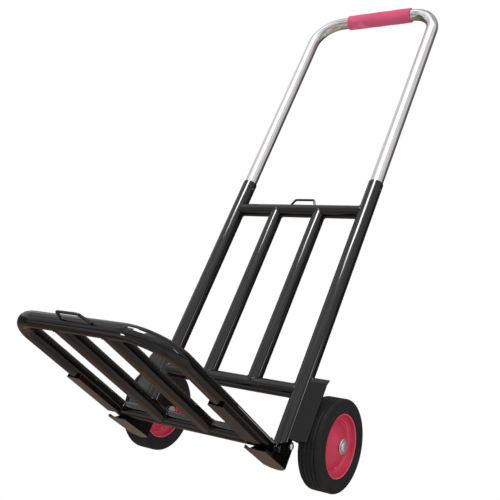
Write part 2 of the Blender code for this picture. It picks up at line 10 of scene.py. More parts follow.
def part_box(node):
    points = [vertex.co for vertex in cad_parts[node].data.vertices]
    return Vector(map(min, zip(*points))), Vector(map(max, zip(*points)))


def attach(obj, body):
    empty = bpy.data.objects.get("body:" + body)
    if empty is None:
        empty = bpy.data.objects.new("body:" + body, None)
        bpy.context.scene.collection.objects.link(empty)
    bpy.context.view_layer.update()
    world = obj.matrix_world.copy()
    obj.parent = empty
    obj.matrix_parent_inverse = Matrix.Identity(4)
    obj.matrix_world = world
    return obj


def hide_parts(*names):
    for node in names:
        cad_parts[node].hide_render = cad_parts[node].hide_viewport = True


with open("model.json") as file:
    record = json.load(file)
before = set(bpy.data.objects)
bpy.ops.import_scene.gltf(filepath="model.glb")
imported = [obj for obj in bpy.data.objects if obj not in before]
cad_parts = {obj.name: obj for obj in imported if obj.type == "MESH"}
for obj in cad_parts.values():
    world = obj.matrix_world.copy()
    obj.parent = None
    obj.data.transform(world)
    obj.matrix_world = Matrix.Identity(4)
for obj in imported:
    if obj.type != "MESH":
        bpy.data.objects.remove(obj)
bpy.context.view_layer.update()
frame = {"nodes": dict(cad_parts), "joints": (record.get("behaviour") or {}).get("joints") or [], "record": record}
JOINTS = {joint["name"]: joint for joint in frame["joints"]}
SIDES = (("left", -1), ("right", 1))


# ---------------------------------------------------------------- places read from the frame

def middle(node):
    low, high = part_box(node)
    return (low + high) / 2


def extent(node):
    low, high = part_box(node)
    return high - low


TUBE_R = extent("left_side_tube").x / 2
TUBE_X = middle("right_side_tube").x
BACK_Y = middle("left_side_tube").y
TUBE_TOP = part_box("left_side_tube")[1].z
TUBE_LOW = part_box("left_side_tube")[0].z
BAR_R = extent("upper_crossbar").z / 2
UPPER_Z = middle("upper_crossbar").z
LOWER_Z = middle("lower_crossbar").z
SLAT_X = middle("right_back_slat").x
HANDLE_R = extent("handle_tube").y / 2
HANDLE_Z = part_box("handle_tube")[1].z - HANDLE_R
HANDLE_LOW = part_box("handle_tube")[0].z
HANDLE_BEND = 0.058
BUTTON_Z = middle("left_snap_button").z
BUTTON_HOLE_R = 0.0031
WALL = 0.0013                # of every visible tube
BOLT_HOLE_R = 0.0033
PIN_HOLE_R = 0.0048
DRILL_REACH = 0.02           # from a tube's axis to outside the tube
CLEAR = 0.0003               # between neighbouring pieces
WIRE_R = extent("back_hook").y / 2
HOOK_BASE = extent("back_hook").x / 2 - WIRE_R
HOOK_TOP = 0.0205
HOOK_ROUND = 0.004

PIVOT = Vector(JOINTS["platform_fold"]["pos_m"])
BAR_DROP = middle("platform_crossbar") - PIVOT
PITCH = math.atan2(BAR_DROP.z, -BAR_DROP.y)
REAR_ARM = math.hypot(BAR_DROP.y, BAR_DROP.z)
FORK_R = BAR_R
FRONT_ARM = (PIVOT.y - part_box("platform_tube")[0].y - FORK_R) / math.cos(PITCH)
LEFT_BEND = 0.047
RIGHT_BEND = 0.066
FORK_TAIL = 0.0098
TO_PLATFORM = Matrix.Translation(PIVOT) @ Matrix.Rotation(-PITCH, 4, "X")

ROUND = 64                   # sides of a visible tube
BEND_STEPS = 28              # points round a tube's bend
BEAD = 0.0012                # radius of a weld bead
GROOVES = (0.0105, 0.0035, -0.0035, -0.0105)    # of the tread, from the wheel's middle plane
# pressed and machined nodes of each side and the width of their eased edges
EASED = (("shoe", 0.0005), ("wheel_bracket", 0.0005), ("platform_channel", 0.0003), ("shoe_bolt", 0.0004),
         ("shoe_nut", 0.0004), ("pivot_pin", 0.0003), ("axle", 0.0005))


# ---------------------------------------------------------------- materials

def mixed(nodes, links, share, one, other):
    """A colour that goes from one to the other with the share; each is a socket or a plain colour."""
    made = nodes.new("ShaderNodeMix")
    made.data_type = "RGBA"
    factor, _, _, _, _, _, first, second = made.inputs[:8]
    links.new(share, factor)
    for socket, value in ((first, one), (second, other)):
        if isinstance(value, tuple):
            socket.default_value = (*value, 1.0)
        else:
            links.new(value, socket)
    return made.outputs[2]


class Shader:
    """A Principled material with short ways to add noise, ramps and bump in object coordinates."""

    def __init__(self, name, colour, roughness, metallic=0.0, ior=1.5):
        self.material = bpy.data.materials.new(name)
        self.material.use_nodes = True
        self.nodes = self.material.node_tree.nodes
        self.links = self.material.node_tree.links
        self.surface = self.nodes["Principled BSDF"]
        self.put("Base Color", (*colour, 1.0))
        self.put("Roughness", roughness)
        self.put("Metallic", metallic)
        self.put("IOR", ior)
        self.coordinates = self.nodes.new("ShaderNodeTexCoord").outputs["Object"]
        self.bumps = None

    def put(self, socket, value):
        self.surface.inputs[socket].default_value = value

    def stretched(self, scale):
        mapping = self.nodes.new("ShaderNodeMapping")
        mapping.inputs["Scale"].default_value = scale
        self.links.new(self.coordinates, mapping.inputs["Vector"])
        return mapping.outputs["Vector"]

    def noise(self, scale, detail=4.0, stretch=None, distortion=0.0):
        made = self.nodes.new("ShaderNodeTexNoise")
        made.inputs["Scale"].default_value = scale
        made.inputs["Detail"].default_value = detail
        made.inputs["Distortion"].default_value = distortion
        self.links.new(self.stretched(stretch) if stretch else self.coordinates, made.inputs["Vector"])
        return made.outputs["Fac"]

    def cells(self, scale, feature="F1"):
        made = self.nodes.new("ShaderNodeTexVoronoi")
        made.feature = feature
        made.inputs["Scale"].default_value = scale
        self.links.new(self.coordinates, made.inputs["Vector"])
        return made.outputs["Distance"]

    def ramp(self, value, stops):
        """Stops are (position, value or colour)."""
        made = self.nodes.new("ShaderNodeValToRGB")
        elements = made.color_ramp.elements
        while len(elements) < len(stops):
            elements.new(0.5)
        for element, (position, colour) in zip(elements, stops):
            element.position = position
            element.color = (*colour, 1.0) if isinstance(colour, tuple) else (colour, colour, colour, 1.0)
        self.links.new(value, made.inputs["Fac"])
        return made.outputs["Color"]

    def painted_edge_highlight(self, colour, highlight_colour, start, end):
        """A colour that goes over to a paler one where edges stand out, by their pointiness: a painted highlight.
        """
        edges = self.nodes.new("ShaderNodeNewGeometry").outputs["Pointiness"]
        share = self.ramp(edges, [(start, 0.0), (end, 1.0)])
        return mixed(self.nodes, self.links, share, colour, highlight_colour)

    def feed(self, value, socket):
        self.links.new(value, self.surface.inputs[socket])

    def bump(self, height, strength, distance):
        made = self.nodes.new("ShaderNodeBump")
        made.inputs["Strength"].default_value = strength
        made.inputs["Distance"].default_value = distance
        self.links.new(height, made.inputs["Height"])
        if self.bumps is not None:
            self.links.new(self.bumps, made.inputs["Normal"])
        self.bumps = made.outputs["Normal"]
        self.links.new(self.bumps, self.surface.inputs["Normal"])


def black_paint():
    """Gloss stoved enamel: a trace of orange peel and slightly uneven gloss."""
    made = Shader("black_paint", (0.0025, 0.0025, 0.0025), 0.05)
    made.feed(made.ramp(made.noise(35), [(0.35, (0.0020, 0.0019, 0.0019)), (0.7, (0.0036, 0.0033, 0.0030))]),
              "Base Color")
    made.feed(made.ramp(made.noise(18, 6), [(0.3, 0.02), (0.7, 0.05)]), "Roughness")
    made.bump(made.noise(55, 2), 0.10, 0.00006)
    made.bump(made.noise(420, 2), 0.10, 0.00001)
    return made.material


def chrome():
    """Bright plate with hair-fine polishing lines and a trace of handling haze."""
    made = Shader("chrome", (0.69, 0.69, 0.695), 0.05, 1.0)
    made.feed(made.ramp(made.noise(14, 5), [(0.35, 0.03), (0.75, 0.075)]), "Roughness")
    made.bump(made.noise(260, 3, stretch=(1, 1, 0.06)), 0.10, 0.000001)
    return made.material


def zinc():
    """Bright zinc plate with a fine grain and faint blue and yellow passivation."""
    made = Shader("zinc", (0.82, 0.82, 0.81), 0.34, 0.8)
    made.feed(made.ramp(made.noise(160, 3), [(0.3, (0.72, 0.74, 0.77)), (0.5, (0.84, 0.84, 0.83)),
                                             (0.75, (0.80, 0.79, 0.74))]), "Base Color")
    made.feed(made.ramp(made.noise(300, 4), [(0.3, 0.16), (0.7, 0.28)]), "Roughness")
    made.bump(made.noise(1400, 2), 0.10, 0.00002)
    return made.material


def spring_steel():
    """Bare rolled strip, brushed along its length."""
    made = Shader("spring_steel", (0.30, 0.29, 0.28), 0.32, 1.0)
    made.feed(made.ramp(made.noise(240, 4), [(0.3, (0.26, 0.25, 0.26)), (0.7, (0.40, 0.38, 0.34))]),
              "Base Color")
    made.bump(made.noise(900, 3, stretch=(1, 1, 0.2)), 0.10, 0.0001)
    return made.material


def foam():
    """Closed-cell foam: cut pores, a soft bloom at grazing angles and paler rubbed smears."""
    made = Shader("pink_foam", (0.60, 0.11, 0.20), 0.85)
    made.feed(made.ramp(made.noise(26, 4, stretch=(0.45, 1, 1), distortion=0.8),
                        [(0.30, (0.62, 0.085, 0.170)), (0.54, (0.67, 0.105, 0.200)),
                         (0.70, (0.80, 0.250, 0.350))]), "Base Color")
    made.put("Sheen Weight", 0.05)
    made.put("Sheen Roughness", 0.45)
    made.put("Sheen Tint", (1.0, 0.75, 0.85, 1.0))
    made.put("Specular IOR Level", 0.3)
    made.bump(made.cells(1500), 0.30, 0.0002)
    made.bump(made.noise(420, 5), 0.20, 0.0002)
    return made.material


def crimson():
    """Moulded plastic with faint flow marks, a fine spark texture and a painted highlight on its convex edges."""
    made = Shader("red_plastic", (0.58, 0.030, 0.078), 0.34)
    flow = made.ramp(made.noise(22, 5, distortion=0.8), [(0.3, (0.53, 0.026, 0.070)),
                                                         (0.55, (0.58, 0.030, 0.078)),
                                                         (0.8, (0.62, 0.040, 0.090))])
    # paler colour on convex edges by pointiness: a painted highlight, chiefly along the hub's rim lip
    made.feed(made.painted_edge_highlight(flow, (0.94, 0.25, 0.33), 0.510, 0.545), "Base Color")
    made.feed(made.ramp(made.noise(90, 4), [(0.3, 0.28), (0.7, 0.42)]), "Roughness")
    made.put("Subsurface Weight", 0.06)
    made.put("Subsurface Radius", (0.004, 0.001, 0.001))
    made.bump(made.noise(1300, 2), 0.08, 0.00005)
    return made.material


def rubber():
    """Moulded solid rubber: a dull bloom, fine mould grain and a little dust."""
    made = Shader("black_rubber", (0.017, 0.017, 0.017), 0.6)
    made.feed(made.ramp(made.noise(60, 6, distortion=0.3), [(0.3, (0.0170, 0.0168, 0.0172)),
                                                            (0.6, (0.0215, 0.0212, 0.0215)),
                                                            (0.85, (0.0290, 0.0285, 0.0280))]), "Base Color")
    made.feed(made.ramp(made.noise(45, 4), [(0.3, 0.50), (0.7, 0.68)]), "Roughness")
    made.put("Specular IOR Level", 0.10)
    made.bump(made.noise(1100, 4), 0.15, 0.0001)
    return made.material


def nylon():
    """Black moulded plastic of the bushes and plugs."""
    made = Shader("black_plastic", (0.020, 0.020, 0.021), 0.48)
    made.feed(made.ramp(made.noise(200, 4), [(0.3, (0.016, 0.016, 0.017)), (0.7, (0.028, 0.028, 0.028))]),
              "Base Color")
    made.bump(made.noise(1500, 2), 0.12, 0.0001)
    return made.material


FINISH = {
    "black_paint": black_paint(),
    "chrome": chrome(),
    "zinc": zinc(),
    "spring_steel": spring_steel(),
    "pink_foam": foam(),
    "red_plastic": crimson(),
    "black_rubber": rubber(),
    "black_plastic": nylon(),
}
NODE_SLOT = {entry["node"]: entry["material_slot"] for entry in frame["record"]["subparts"]}
NODE_BODY = {node: body for body, nodes in frame["record"]["behaviour"]["bodies"].items() for node in nodes}


# ---------------------------------------------------------------- mesh helpers

def finish_piece(obj, slot, body, *nodes, sharp=32):
    """Shade a piece, give it its material and let it ride in place of CAD nodes."""
    obj.data.shade_smooth()
    obj.data.set_sharp_from_angle(angle=math.radians(sharp))
    obj.data.materials.clear()
    obj.data.materials.append(FINISH[slot])
    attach(obj, body)
    if nodes:
        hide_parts(*nodes)
    return obj


def mesh_object(name, points, faces, matrix=None):
    """An object from points and faces, moved by the matrix, with its faces turned outwards."""
    mesh = bpy.data.meshes.new(name)
    mesh.from_pydata([tuple(point) for point in points], [], faces)
    if matrix is not None:
        mesh.transform(matrix)
    work = bmesh.new()
    work.from_mesh(mesh)
    bmesh.ops.remove_doubles(work, verts=work.verts, dist=1e-7)
    bmesh.ops.recalc_face_normals(work, faces=work.faces)
    work.to_mesh(mesh)
    work.free()
    obj = bpy.data.objects.new(name, mesh)
    bpy.context.scene.collection.objects.link(obj)
    return obj


def apply_modifiers(obj):
    """Replace an object's mesh or curve by what its modifiers make of it."""
    graph = bpy.context.evaluated_depsgraph_get()
    mesh = bpy.data.meshes.new_from_object(obj.evaluated_get(graph))
    name = obj.name
    bpy.data.objects.remove(obj, do_unlink=True)
    made = bpy.data.objects.new(name, mesh)
    bpy.context.scene.collection.objects.link(made)
    return made


def skin(rings, closed_rows):
    """Faces over a list of equal closed rings of points, row by row."""
    size = len(rings[0])
    points = [point for ring in rings for point in ring]
    last = len(rings) if closed_rows else len(rings) - 1
    faces = []
    for row in range(last):
        a, b = row * size, (row + 1) % len(rings) * size
        faces += [(a + i, a + (i + 1) % size, b + (i + 1) % size, b + i) for i in range(size)]
    return points, faces


def soften(points, radius, steps=4, closed=True):
    """Round each corner of an outline with a short curve that starts up to a radius before it."""
    rounded = []
    count = len(points)
    for i, corner in enumerate(points):
        if not closed and i in (0, count - 1):
            rounded.append(corner)
            continue
        here = Vector(corner)
        before, after = Vector(points[i - 1]), Vector(points[(i + 1) % count])
        start = here + (before - here).normalized() * min(radius, (before - here).length * 0.45)
        end = here + (after - here).normalized() * min(radius, (after - here).length * 0.45)
        for k in range(steps + 1):
            t = k / steps
            rounded.append(tuple(start * (1 - t) ** 2 + here * 2 * t * (1 - t) + end * t ** 2))
    return rounded


def turned(name, profile, matrix, segments=96):
    """A closed turned form about Z from a closed outline of (radius, height) points."""
    rings = []
    for radius, height in profile:
        turn = (math.tau * i / segments for i in range(segments))
        rings.append([Vector((radius * math.cos(a), radius * math.sin(a), height)) for a in turn])
    points, faces = skin(rings, closed_rows=True)
    return mesh_object(name, points, faces, matrix)


def arc(centre, radius, start, end, steps):
    """Points on a circle between two angles in degrees."""
    angles = (math.radians(start + (end - start) * i / steps) for i in range(steps + 1))
    return [(centre[0] + radius * math.cos(a), centre[1] + radius * math.sin(a)) for a in angles]


def seat(angle, radius, cross_radius):
    """How far along its axis a tube's edge stops when it sits on a crossing tube's surface."""
    return math.sqrt(max(cross_radius ** 2 - (radius * math.sin(angle)) ** 2, 0.0))


def straight_tube(name, start, end, radius, cross, radii=(None, None), matrix=None):
    """A tube from axis to axis whose ends are cut to sit on crossing tubes of the given radii."""
    start, end, cross = Vector(start), Vector(end), Vector(cross)
    along = (end - start).normalized()
    side = along.cross(cross)
    angles = [math.tau * i / ROUND for i in range(ROUND)]

    def edge(origin, way, own, crossing):
        reach = [way * seat(a, own, crossing) if crossing else 0.0 for a in angles]
        return [origin + along * r + (cross * math.cos(a) + side * math.sin(a)) * own
                for a, r in zip(angles, reach)]

    inner = radius - WALL
    rings = [edge(start, 1, radius, radii[0]), edge(end, -1, radius, radii[1]),
             edge(end, -1, inner, radii[1]), edge(start, 1, inner, radii[0])]
    points, faces = skin(rings, closed_rows=True)
    return mesh_object(name, points, faces, matrix)


def curve_piece(name, points, radius, cyclic=False, sides=6, swell=None, matrix=None, caps=True):
    """A round bar along points; swell gives each point's radius as a share of the bar's."""
    curve = bpy.data.curves.new(name, "CURVE")
    curve.dimensions = "3D"
    curve.bevel_depth = radius
    curve.bevel_resolution = sides
    curve.use_fill_caps = caps
    spline = curve.splines.new("POLY")
    spline.points.add(len(points) - 1)
    for i, place in enumerate(points):
        spline.points[i].co = (*place, 1.0)
        if swell:
            spline.points[i].radius = swell(i)
    spline.use_cyclic_u = cyclic
    obj = bpy.data.objects.new(name, curve)
    bpy.context.scene.collection.objects.link(obj)
    made = apply_modifiers(obj)
    if matrix is not None:
        made.data.transform(matrix)
    return made


def weld(name, origin, along, cross, radius, cross_radius, body, matrix=None):
    """A small rippled bead where a tube of one radius meets a crossing tube."""
    origin, along, cross = Vector(origin), Vector(along), Vector(cross)
    side = along.cross(cross)
    steps = 72
    path = []
    for i in range(steps):
        a = math.tau * i / steps
        out = (cross * math.cos(a) + side * math.sin(a)) * radius
        path.append(origin + along * seat(a, radius, cross_radius * 1.01) + out)

    def ripple(i):
        return 1.0 + 0.14 * math.sin(i * math.tau / 4) + 0.08 * math.sin(i * 0.9)

    bead = curve_piece(name, path, BEAD, cyclic=True, sides=3, swell=ripple, matrix=matrix)
    return finish_piece(bead, "black_paint", body, sharp=60)


def cut(obj, *cutters):
    """Take solid cutters out of a piece."""
    for i, cutter in enumerate(cutters):
        modifier = obj.modifiers.new(f"cut_{i}", "BOOLEAN")
        modifier.operation = "DIFFERENCE"
        modifier.solver = "EXACT"
        modifier.object = cutter
    made = apply_modifiers(obj)
    for cutter in cutters:
        bpy.data.objects.remove(cutter, do_unlink=True)
    return made


def drill(start, end, radius):
    """A solid bar between two points, to cut a round hole with."""
    return curve_piece("drill", [start, end], radius, sides=8)


def bent_tube(name, points, radius, holes):
    """An open-ended tube along points, with its wall inside the radius and holes drilled in it."""
    tube = curve_piece(name, points, radius, sides=14, caps=False)
    wall = tube.modifiers.new("wall", "SOLIDIFY")
    wall.thickness = WALL
    wall.offset = -1.0
    return cut(tube, *holes)


def refined(node, width, segments=2, angle=28):
    """The CAD node's own shape with its edges eased, as pressed or machined steel has them."""
    source = frame["nodes"][node]
    mesh = source.data.copy()
    work = bmesh.new()
    work.from_mesh(mesh)
    bmesh.ops.remove_doubles(work, verts=work.verts, dist=2e-6)
    bmesh.ops.dissolve_limit(work, angle_limit=math.radians(2), verts=work.verts, edges=work.edges)
    bmesh.ops.recalc_face_normals(work, faces=work.faces)
    work.to_mesh(mesh)
    work.free()
    obj = bpy.data.objects.new(f"{node}_shape", mesh)
    bpy.context.scene.collection.objects.link(obj)
    bevel = obj.modifiers.new("eased_edges", "BEVEL")
    bevel.width = width
    bevel.segments = segments
    bevel.limit_method = "ANGLE"
    bevel.angle_limit = math.radians(angle)
    bevel.use_clamp_overlap = True
    made = finish_piece(apply_modifiers(obj), NODE_SLOT[node], NODE_BODY[node], node, sharp=40)
    flatten = made.modifiers.new("flat_faces", "WEIGHTED_NORMAL")
    flatten.keep_sharp = True
    return made


# ---------------------------------------------------------------- back frame

def make_side_tube(name, side):
    """A side tube with the button's hole and the holes of the shoe bolt."""
    x = side * TUBE_X
    bolt = middle(f"{name}_shoe_bolt")
    tube = straight_tube(f"{name}_side_tube_skin", (x, BACK_Y, TUBE_LOW), (x, BACK_Y, TUBE_TOP), TUBE_R,
                         (1, 0, 0))
    hole = drill((x, BACK_Y, BUTTON_Z), (x + DRILL_REACH, BACK_Y, BUTTON_Z), BUTTON_HOLE_R)
    through = drill((x - DRILL_REACH, bolt.y, bolt.z), (x + DRILL_REACH, bolt.y, bolt.z), BOLT_HOLE_R)
    finish_piece(cut(tube, hole, through), "black_paint", "frame", f"{name}_side_tube")


def make_crossbar(name, height):
    bar = straight_tube(f"{name}_skin", (-TUBE_X, BACK_Y, height), (TUBE_X, BACK_Y, height), BAR_R,
                        (0, 0, 1), (TUBE_R, TUBE_R))
    finish_piece(bar, "black_paint", "frame", name)
    for end, side in SIDES:
        weld(f"{name}_{end}_weld", (side * TUBE_X, BACK_Y, height), (-side, 0, 0), (0, 0, 1), BAR_R,
             TUBE_R, "frame")


def make_back_slat(name, side):
    x = side * SLAT_X
    slat = straight_tube(f"{name}_back_slat_skin", (x, BACK_Y, LOWER_Z), (x, BACK_Y, UPPER_Z), BAR_R,
                         (1, 0, 0), (BAR_R, BAR_R))
    finish_piece(slat, "black_paint", "frame", f"{name}_back_slat")
    for end, height, way in (("lower", LOWER_Z, 1), ("upper", UPPER_Z, -1)):
        weld(f"{name}_back_slat_{end}_weld", (x, BACK_Y, height), (0, 0, way), (1, 0, 0), BAR_R, BAR_R,
             "frame")


def hook_points(reach):
    """The centre line of a wire hook in its own plane, from foot to foot."""
    slope = math.degrees(math.atan2(reach, HOOK_BASE - HOOK_TOP))
    right = arc((HOOK_TOP - HOOK_ROUND * 0.6, reach - HOOK_ROUND), HOOK_ROUND, 90 - slope, 90, 8)
    return [(HOOK_BASE, 0.0), *right, *((-x, y) for x, y in reversed(right)), (-HOOK_BASE, 0.0)]


def make_back_hook():
    low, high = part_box("back_hook")
    foot = UPPER_Z + BAR_R + CLEAR
    y = (low.y + high.y) / 2
    path = [(x, y, foot + up) for x, up in hook_points(high.z - WIRE_R - foot)]
    finish_piece(curve_piece("back_hook_wire", path, WIRE_R), "black_paint", "frame", "back_hook", sharp=60)


# ---------------------------------------------------------------- handle

def make_handle():
    """The chrome U, in one bent tube, with the buttons' holes."""
    x = TUBE_X - HANDLE_BEND
    z = HANDLE_Z - HANDLE_BEND
    right = arc((x, z), HANDLE_BEND, 0, 90, BEND_STEPS)
    left = arc((-x, z), HANDLE_BEND, 90, 180, BEND_STEPS)
    flat = [(TUBE_X, HANDLE_LOW), *right, *left, (-TUBE_X, HANDLE_LOW)]
    holes = [drill((side * TUBE_X, BACK_Y, BUTTON_Z), (side * TUBE_X + DRILL_REACH, BACK_Y, BUTTON_Z),
                   BUTTON_HOLE_R) for _, side in SIDES]
    tube = bent_tube("handle_tube_skin", [(a, BACK_Y, b) for a, b in flat], HANDLE_R, holes)
    finish_piece(tube, "chrome", "handle", "handle_tube")


def make_grip():
    """A foam sleeve with a slightly wavy outline and soft rolled ends."""
    low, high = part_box("foam_grip")
    half = (high.x - low.x) / 2
    outer = (high.z - low.z) / 2
    bore = HANDLE_R + 0.0002
    lip = 0.0030
    wave = 0.0003
    body = []
    steps = 24
    for i in range(steps + 1):
        t = 1 - 2 * i / steps
        hollow = wave * (1 - math.cos(math.tau * t * 1.5)) / 2
        body.append((outer - hollow, t * (half - lip)))
    top = [(outer - lip + lip * math.sin(math.radians(a)), half - lip + lip * math.cos(math.radians(a)))
           for a in range(0, 90, 10)]
    bottom = [(r, -z) for r, z in reversed(top)]
    profile = [(bore, half - 0.0008), (bore + 0.0006, half), *top, *body, *bottom,
               (bore + 0.0006, -half), (bore, 0.0008 - half)]
    place = Matrix.Translation((low + high) / 2) @ Matrix.Rotation(math.radians(90), 4, "Y")
    grip = finish_piece(turned("foam_grip_sleeve", profile, place), "pink_foam", "handle", "foam_grip")


# ---------------------------------------------------------------- platform

def make_fork():
    """The bent U of the platform, open at its two rear ends."""
    right = arc((TUBE_X - RIGHT_BEND, RIGHT_BEND - FRONT_ARM), RIGHT_BEND, 0, -90, BEND_STEPS)
    left = arc((LEFT_BEND - TUBE_X, LEFT_BEND - FRONT_ARM), LEFT_BEND, -90, -180, BEND_STEPS)
    flat = [(TUBE_X, FORK_TAIL), *right, *left, (-TUBE_X, FORK_TAIL)]
    holes = [drill((side * TUBE_X - DRILL_REACH, 0, 0), (side * TUBE_X + DRILL_REACH, 0, 0), PIN_HOLE_R)
             for _, side in SIDES]
    tube = bent_tube("platform_tube_skin", [(a, b, 0.0) for a, b in flat], FORK_R, holes)
    tube.data.transform(TO_PLATFORM)
    finish_piece(tube, "black_paint", "platform", "platform_tube")


def make_platform_bars():
    bar = straight_tube("platform_crossbar_skin", (-TUBE_X, -REAR_ARM, 0), (TUBE_X, -REAR_ARM, 0), BAR_R,
                        (0, 1, 0), (FORK_R, FORK_R), TO_PLATFORM)
    finish_piece(bar, "black_paint", "platform", "platform_crossbar")
    for name, side in SIDES:
        x = side * SLAT_X
        weld(f"platform_crossbar_{name}_weld", (side * TUBE_X, -REAR_ARM, 0), (-side, 0, 0), (0, 1, 0),
             BAR_R, FORK_R, "platform", TO_PLATFORM)
        slat = straight_tube(f"{name}_platform_slat_skin", (x, -FRONT_ARM, 0), (x, -REAR_ARM, 0), BAR_R,
                             (1, 0, 0), (FORK_R, BAR_R), TO_PLATFORM)
        finish_piece(slat, "black_paint", "platform", f"{name}_platform_slat")
        for end, arm, way in (("front", FRONT_ARM, 1), ("rear", REAR_ARM, -1)):
            weld(f"{name}_platform_slat_{end}_weld", (x, -arm, 0), (0, way, 0), (1, 0, 0), BAR_R, BAR_R,
                 "platform", TO_PLATFORM)


def make_front_hook():
    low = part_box("platform_hook")[0]
    reach = (PIVOT.y - low.y - WIRE_R) / math.cos(PITCH) - FRONT_ARM - FORK_R
    foot = WIRE_R * 0.6 + CLEAR
    path = [(x, -FRONT_ARM - FORK_R - foot - out, 0.0) for x, out in hook_points(reach - foot)]
    wire = curve_piece("platform_hook_wire", path, WIRE_R, matrix=TO_PLATFORM)
    finish_piece(wire, "black_paint", "platform", "platform_hook", sharp=60)


# ---------------------------------------------------------------- wheels

def tread(radius, middle_z, depth=0.0022, half=0.0013):
    """One groove of the tread as five points, with a rounded floor."""
    return [(radius, middle_z + half), (radius - depth * 0.7, middle_z + half * 0.45),
            (radius - depth, middle_z), (radius - depth * 0.7, middle_z - half * 0.45),
            (radius, middle_z - half)]


def make_wheel(name, side):
    """A solid tyre with four grooves, on a dished plastic hub."""
    low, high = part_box(f"{name}_tyre")
    centre = (low + high) / 2
    half = (high.x - low.x) / 2
    wheel_r = (high.z - low.z) / 2
    rim_r = extent(f"{name}_hub").z / 2
    place = Matrix.Translation(centre) @ Matrix.Rotation(math.radians(90 * side), 4, "Y")
    shoulder = 0.0045
    grooves = [point for z in GROOVES for point in tread(wheel_r, z)]
    face = rim_r + CLEAR
    side_wall = [(face, half - 0.0006), (face + 0.0012, half), (face + 0.0080, half - 0.0002),
                 (face + 0.0088, half - 0.0008), (face + 0.0110, half - 0.0008)]
    profile = [*side_wall, *arc((wheel_r - shoulder, half - shoulder - 0.0004), shoulder, 88, 0, 12),
               *soften(grooves, 0.0005, 2, closed=False),
               *arc((wheel_r - shoulder, shoulder - half), shoulder, 0, -90, 8),
               (face + 0.0012, -half), (face, 0.0006 - half)]
    finish_piece(turned(f"{name}_tyre_rubber", profile, place, 128), "black_rubber", f"{name}_wheel",
                 f"{name}_tyre", sharp=50)

    low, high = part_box(f"{name}_hub")
    boss = (high.x - low.x) / 2
    lip = boss - 0.00055
    top_r, foot_r, foot = 0.0130, 0.0385, 0.0050
    step_r, step = 0.0425, 0.0085
    bore = 0.0068
    dish = [(bore, boss), (top_r - 0.0012, boss), (top_r, boss - 0.0012), (foot_r, foot),
            (step_r - 0.0024, foot), (step_r, step), (rim_r - 0.0045, step + 0.0012),
            (rim_r - 0.0028, lip - 0.0006), (rim_r - 0.0014, lip), (rim_r, lip - 0.0008)]
    outline = [*dish, *((radius, -height) for radius, height in reversed(dish))]
    hub = turned(f"{name}_hub_moulding", soften(outline, 0.0011, 3), place, 112)
    finish_piece(hub, "red_plastic", f"{name}_wheel", f"{name}_hub", sharp=50)


def make_cap_nut(name, side):
    """A low domed cap on a fluted flange."""
    low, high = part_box(f"{name}_cap_nut")
    centre = (low + high) / 2
    flange = (high.z - low.z) / 2
    height = high.x - low.x
    bore, floor = 0.0052, 0.0022
    tip = 0.00002
    flute = 0.0003
    place = Matrix.Translation((low.x if side > 0 else high.x, centre.y, centre.z))
    place = place @ Matrix.Rotation(math.radians(90 * side), 4, "Y")
    flutes, segments = 10, 120
    dome_r = 0.0078
    dome = [(dome_r * math.cos(math.radians(a)), floor + (height - floor) * math.sin(math.radians(a)))
            for a in range(0, 90, 9)]
    profile = [(bore, 0.0), (flange - 0.0003, 0.0), (flange, 0.0005), (flange - 0.0007, 0.0016), *dome,
               (tip, height), (tip, floor - 0.0002), (bore, floor - 0.0002)]
    rings = []
    for radius, z in profile:
        share = 1.0 if z > floor * 0.5 and dome_r * 0.9 < radius < flange else 0.0
        ring = []
        for i in range(segments):
            a = math.tau * i / segments
            dip = flute * share * (1 - abs(math.cos(a * flutes / 2)))
            ring.append(Vector((radius * math.cos(a), radius * math.sin(a), z - dip)))
        rings.append(ring)
    points, faces = skin(rings, closed_rows=True)
    cap = mesh_object(f"{name}_cap_nut_dome", points, faces, place)
    finish_piece(cap, "zinc", "frame", f"{name}_cap_nut", sharp=24)


# ---------------------------------------------------------------- stage, light and camera

ROOM_UP = Vector((-0.046, -0.564, 0.8245)).normalized()     # the room's upright, tilted from the truck's
ROOM_RIGHT = Vector((0.99845, 0.0, 0.0557))
ROOM_FRONT = ROOM_RIGHT.cross(ROOM_UP)
ROOM_STRENGTH = 1.2

# azimuth, elevation, half width, half height, softness (degrees) and colour of shapes in the room
PATCHES = (
    (-166, -8, 11, 20, 4, (0.09, 0.11, 0.05)),      # plants on the left
    (-131, 44, 6, 18, 2, (0.46, 0.44, 0.45)),       # a curtain
    (3, 12, 2.6, 9, 0.8, (1.25, 1.18, 1.3)),        # a bright door edge on the right
    (55, 2, 7, 20, 3, (0.11, 0.10, 0.09)),          # a lighter wall behind it
    (-82, 74, 24, 16, 5, (1.45, 1.45, 1.45)),       # glow round the skylight
    (-106, 62, 5, 4, 1.2, (0.60, 0.58, 0.59)),      # a post beside it
)
# azimuth, elevation, half width, half height (degrees), brightness, colour and who reflects it
WINDOWS = (
    (-84, 75, 10.5, 10.5, 19.0, (1.0, 1.0, 1.0), ""),                 # the skylight
    (-84, 63.6, 4, 1.6, 15.0, (1.0, 1.0, 1.0), ""),                   # a pane below it
    (3, 12, 3.0, 8.5, 3.8, (0.97, 0.86, 1.0), ""),                    # the door edge
    (-166, 76, 4, 9, 18.0, (1.0, 1.0, 1.0), "platform_tube"),         # a rooflight on the left
    (-123, -11, 3.5, 5, 18.0, (1.0, 1.0, 1.0), "platform_tube"),      # a low window on the left
)
WINDOW_AWAY = 20.0
LAMP_SPREAD = 4.0            # watts from a square metre of lamp at a brightness of 1
# features round and up the room, noise levels of full and no effect, and the most they darken
CLUTTER = (
    (14.0, 7.0, 0.38, 0.58, 0.35),
    (6.0, 60.0, 0.38, 0.56, 0.45),
    (90.0, 5.0, 0.40, 0.54, 0.35),
)
